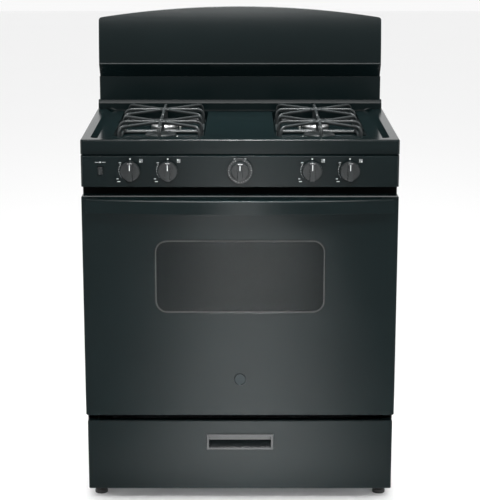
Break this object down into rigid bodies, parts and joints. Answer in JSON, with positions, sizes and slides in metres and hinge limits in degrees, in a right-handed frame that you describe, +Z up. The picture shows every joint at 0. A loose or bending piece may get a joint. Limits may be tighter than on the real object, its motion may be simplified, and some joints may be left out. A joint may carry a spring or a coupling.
{
  "type": "freestanding gas range",
  "caption": "Freestanding gas range with a sealed-burner cooktop, wire grates, front knobs, windowed drop-down oven door, lower drawer and arched backguard.",
  "frame": {"origin": "middle of the bounding box at floor level, under the feet", "axes": "+X to the right seen from the front, the front faces -Y, +Z up"},
  "size_m": [0.762, 0.715, 1.186],
  "materials": {
    "black_enamel": "glossy porcelain enamel",
    "black_paint": "satin paint",
    "galvanised_steel": "galvanised sheet",
    "steel_parts": "plain rolled steel",
    "chrome_wire": "bright nickel wire",
    "cast_grate": "semi-gloss black enamel on rod",
    "burner_cap": "matt black enamel",
    "burner_aluminium": "cast, lightly blasted",
    "knob_plastic": "satin moulded",
    "oven_enamel": "speckled grey enamel",
    "dark_glass": "dark tinted",
    "lamp_glass": "clear ribbed",
    "gasket": "woven glass fibre over wire",
    "foot_rubber": "moulded pad on a steel stem",
    "brass_fitting": "machined",
    "badge_metal": "dark satin ring"
  },
  "bodies": {
    "body": {"side_panel_left": "black_paint", "side_panel_right": "black_paint", "base_pan": "black_paint", "rear_panel": "galvanised_steel", "gas_inlet": "brass_fitting", "front_frame": "black_paint", "hinge_arm_left": "steel_parts", "hinge_arm_right": "steel_parts", "drawer_rail_left": "steel_parts", "drawer_rail_right": "steel_parts", "cooktop": "black_enamel", "burner_base_front_left": "burner_aluminium", "burner_base_rear_left": "burner_aluminium", "burner_base_front_right": "burner_aluminium", "burner_base_rear_right": "burner_aluminium", "control_panel": "black_enamel", "gas_manifold": "burner_aluminium", "oven_thermostat": "burner_aluminium", "backguard_panel": "black_enamel", "backguard_shroud": "black_enamel", "vent_deflector": "black_paint", "oven_liner": "oven_enamel", "oven_bottom": "oven_enamel", "oven_burner": "steel_parts", "oven_lamp_lens": "lamp_glass"},
    "door": {"door_panel": "black_enamel", "door_glass": "dark_glass", "door_inner_panel": "oven_enamel", "door_inner_glass": "dark_glass", "door_gasket": "gasket", "door_badge": "badge_metal", "door_handle": "knob_plastic"},
    "drawer": {"drawer_front": "black_enamel", "drawer_pull": "knob_plastic", "drawer_box": "steel_parts"},
    "rack_upper": {"oven_rack_upper": "chrome_wire"},
    "rack_lower": {"oven_rack_lower": "chrome_wire"},
    "stem_burner_1": {"stem_burner_1": "steel_parts"},
    "knob_burner_1": {"knob_burner_1": "knob_plastic"},
    "stem_burner_2": {"stem_burner_2": "steel_parts"},
    "knob_burner_2": {"knob_burner_2": "knob_plastic"},
    "stem_oven": {"stem_oven": "steel_parts"},
    "knob_oven": {"knob_oven": "knob_plastic"},
    "stem_burner_3": {"stem_burner_3": "steel_parts"},
    "knob_burner_3": {"knob_burner_3": "knob_plastic"},
    "stem_burner_4": {"stem_burner_4": "steel_parts"},
    "knob_burner_4": {"knob_burner_4": "knob_plastic"},
    "light_switch": {"light_switch": "knob_plastic"},
    "grate_front_left": {"grate_front_left": "cast_grate"},
    "burner_cap_front_left": {"burner_cap_front_left": "burner_cap"},
    "grate_rear_left": {"grate_rear_left": "cast_grate"},
    "burner_cap_rear_left": {"burner_cap_rear_left": "burner_cap"},
    "grate_front_right": {"grate_front_right": "cast_grate"},
    "burner_cap_front_right": {"burner_cap_front_right": "burner_cap"},
    "grate_rear_right": {"grate_rear_right": "cast_grate"},
    "burner_cap_rear_right": {"burner_cap_rear_right": "burner_cap"},
    "foot_front_left": {"foot_front_left": "foot_rubber"},
    "foot_rear_left": {"foot_rear_left": "foot_rubber"},
    "foot_front_right": {"foot_front_right": "foot_rubber"},
    "foot_rear_right": {"foot_rear_right": "foot_rubber"}
  },
  "joints": [
    {"name": "door_hinge", "type": "hinge", "parent": "body", "child": "door", "pos_m": [0, -0.2735, 0.2405], "axis": [1, 0, 0], "range_deg": [0, 90], "stiffness_Nm_per_rad": 16, "springref_deg": -17.19},
    {"name": "drawer_slide", "type": "slide", "parent": "body", "child": "drawer", "axis": [0, -1, 0], "range_m": [0, 0.4]},
    {"name": "burner_1_push", "type": "slide", "parent": "body", "child": "stem_burner_1", "axis": [0, 1, 0], "range_m": [0, 0.003], "stiffness_N_per_m": 900},
    {"name": "burner_1_turn", "type": "hinge", "parent": "stem_burner_1", "child": "knob_burner_1", "pos_m": [-0.261, -0.2945, 0.843], "axis": [0, -1, 0], "range_deg": [0, 150]},
    {"name": "burner_2_push", "type": "slide", "parent": "body", "child": "stem_burner_2", "axis": [0, 1, 0], "range_m": [0, 0.003], "stiffness_N_per_m": 900},
    {"name": "burner_2_turn", "type": "hinge", "parent": "stem_burner_2", "child": "knob_burner_2", "pos_m": [-0.1715, -0.2945, 0.843], "axis": [0, -1, 0], "range_deg": [0, 150]},
    {"name": "oven_push", "type": "slide", "parent": "body", "child": "stem_oven", "axis": [0, 1, 0], "range_m": [0, 0.003], "stiffness_N_per_m": 900},
    {"name": "oven_turn", "type": "hinge", "parent": "stem_oven", "child": "knob_oven", "pos_m": [0, -0.2945, 0.843], "axis": [0, -1, 0], "range_deg": [0, 300]},
    {"name": "burner_3_push", "type": "slide", "parent": "body", "child": "stem_burner_3", "axis": [0, 1, 0], "range_m": [0, 0.003], "stiffness_N_per_m": 900},
    {"name": "burner_3_turn", "type": "hinge", "parent": "stem_burner_3", "child": "knob_burner_3", "pos_m": [0.1715, -0.2945, 0.843], "axis": [0, -1, 0], "range_deg": [0, 150]},
    {"name": "burner_4_push", "type": "slide", "parent": "body", "child": "stem_burner_4", "axis": [0, 1, 0], "range_m": [0, 0.003], "stiffness_N_per_m": 900},
    {"name": "burner_4_turn", "type": "hinge", "parent": "stem_burner_4", "child": "knob_burner_4", "pos_m": [0.261, -0.2945, 0.843], "axis": [0, -1, 0], "range_deg": [0, 150]},
    {"name": "light_switch_rock", "type": "hinge", "parent": "body", "child": "light_switch", "pos_m": [-0.332, -0.2945, 0.843], "axis": [-1, 0, 0], "range_deg": [0, 12]},
    {"name": "grate_front_left_lift", "type": "slide", "parent": "body", "child": "grate_front_left", "axis": [0, 0, 1], "range_m": [0, 0.06]},
    {"name": "burner_cap_front_left_lift", "type": "slide", "parent": "body", "child": "burner_cap_front_left", "axis": [0, 0, 1], "range_m": [0, 0.015]},
    {"name": "grate_rear_left_lift", "type": "slide", "parent": "body", "child": "grate_rear_left", "axis": [0, 0, 1], "range_m": [0, 0.06]},
    {"name": "burner_cap_rear_left_lift", "type": "slide", "parent": "body", "child": "burner_cap_rear_left", "axis": [0, 0, 1], "range_m": [0, 0.015]},
    {"name": "grate_front_right_lift", "type": "slide", "parent": "body", "child": "grate_front_right", "axis": [0, 0, 1], "range_m": [0, 0.06]},
    {"name": "burner_cap_front_right_lift", "type": "slide", "parent": "body", "child": "burner_cap_front_right", "axis": [0, 0, 1], "range_m": [0, 0.015]},
    {"name": "grate_rear_right_lift", "type": "slide", "parent": "body", "child": "grate_rear_right", "axis": [0, 0, 1], "range_m": [0, 0.06]},
    {"name": "burner_cap_rear_right_lift", "type": "slide", "parent": "body", "child": "burner_cap_rear_right", "axis": [0, 0, 1], "range_m": [0, 0.015]},
    {"name": "rack_upper_slide", "type": "slide", "parent": "body", "child": "rack_upper", "axis": [0, -1, 0], "range_m": [0, 0.02]},
    {"name": "rack_lower_slide", "type": "slide", "parent": "body", "child": "rack_lower", "axis": [0, -1, 0], "range_m": [0, 0.02]},
    {"name": "foot_front_left_screw", "type": "slide", "parent": "body", "child": "foot_front_left", "axis": [0, 0, -1], "range_m": [0, 0.018]},
    {"name": "foot_rear_left_screw", "type": "slide", "parent": "body", "child": "foot_rear_left", "axis": [0, 0, -1], "range_m": [0, 0.018]},
    {"name": "foot_front_right_screw", "type": "slide", "parent": "body", "child": "foot_front_right", "axis": [0, 0, -1], "range_m": [0, 0.018]},
    {"name": "foot_rear_right_screw", "type": "slide", "parent": "body", "child": "foot_rear_right", "axis": [0, 0, -1], "range_m": [0, 0.018]}
  ]
}
